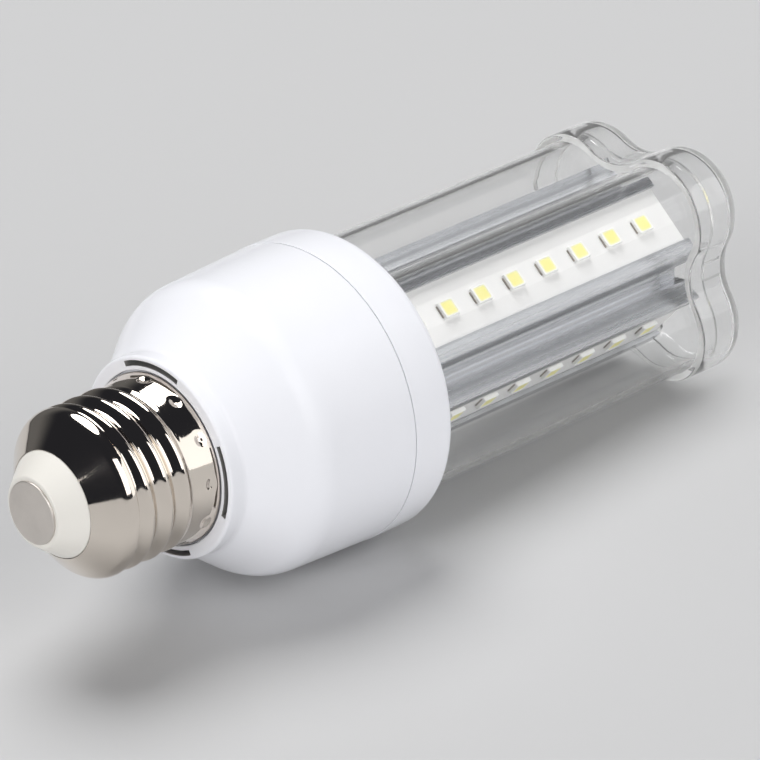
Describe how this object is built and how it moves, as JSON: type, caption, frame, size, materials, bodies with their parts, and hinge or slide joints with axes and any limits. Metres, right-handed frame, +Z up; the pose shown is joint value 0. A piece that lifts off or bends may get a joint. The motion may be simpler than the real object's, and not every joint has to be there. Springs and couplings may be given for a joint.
{
  "type": "light bulb",
  "caption": "Screw-base LED bulb: white driver housing and a clear four-lobed tube with an end cap over rows of light chips on an aluminium extrusion.",
  "frame": {"origin": "bottom centre of the bounding box, on the floor under the bulb as it lies at rest", "axes": "+X level, from the screw base towards the end cap; +Z up; the bulb axis dips towards the cap"},
  "size_m": [0.1338, 0.0478, 0.0492],
  "materials": {
    "contact_nickel": "flat nickel plate",
    "insulator_cream": "smooth moulded",
    "shell_nickel": "polished nickel plate",
    "housing_white": "glossy moulded",
    "clear_plastic": "clear, polished",
    "extruded_aluminium": "as extruded, satin",
    "strip_white": "white solder mask",
    "chip_phosphor": "yellow window in a white body",
    "circuit_green": "solder mask",
    "sleeve_dark": "shrink sleeve",
    "film_red": "dipped",
    "ferrite_dark": "sintered",
    "package_black": "moulded package",
    "resistor_grey": "coated",
    "lead_red": "insulated lead",
    "lead_black": "insulated lead",
    "lead_white": "insulated flat lead"
  },
  "bodies": {
    "root": {"base_insulator": "insulator_cream", "board_leads_1": "lead_white", "board_leads_2": "lead_white", "board_leads_3": "lead_white", "board_leads_4": "lead_white", "bridge_rectifier": "package_black", "centre_contact": "contact_nickel", "clear_tube": "clear_plastic", "driver_board": "circuit_green", "driver_chip": "package_black", "driver_housing": "housing_white", "end_cap": "clear_plastic", "film_capacitor": "film_red", "fuse_resistor": "resistor_grey", "heat_sink": "extruded_aluminium", "housing_lid": "housing_white", "input_capacitor": "sleeve_dark", "led_1_1": "chip_phosphor", "led_1_2": "chip_phosphor", "led_1_3": "chip_phosphor", "led_1_4": "chip_phosphor", "led_1_5": "chip_phosphor", "led_1_6": "chip_phosphor", "led_1_7": "chip_phosphor", "led_1_8": "chip_phosphor", "led_2_1": "chip_phosphor", "led_2_2": "chip_phosphor", "led_2_3": "chip_phosphor", "led_2_4": "chip_phosphor", "led_2_5": "chip_phosphor", "led_2_6": "chip_phosphor", "led_2_7": "chip_phosphor", "led_2_8": "chip_phosphor", "led_3_1": "chip_phosphor", "led_3_2": "chip_phosphor", "led_3_3": "chip_phosphor", "led_3_4": "chip_phosphor", "led_3_5": "chip_phosphor", "led_3_6": "chip_phosphor", "led_3_7": "chip_phosphor", "led_3_8": "chip_phosphor", "led_4_1": "chip_phosphor", "led_4_2": "chip_phosphor", "led_4_3": "chip_phosphor", "led_4_4": "chip_phosphor", "led_4_5": "chip_phosphor", "led_4_6": "chip_phosphor", "led_4_7": "chip_phosphor", "led_4_8": "chip_phosphor", "led_board_1": "strip_white", "led_board_2": "strip_white", "led_board_3": "strip_white", "led_board_4": "strip_white", "live_lead": "lead_red", "neutral_lead": "lead_black", "power_inductor": "ferrite_dark", "screw_shell": "shell_nickel"}
  },
  "joints": []
}
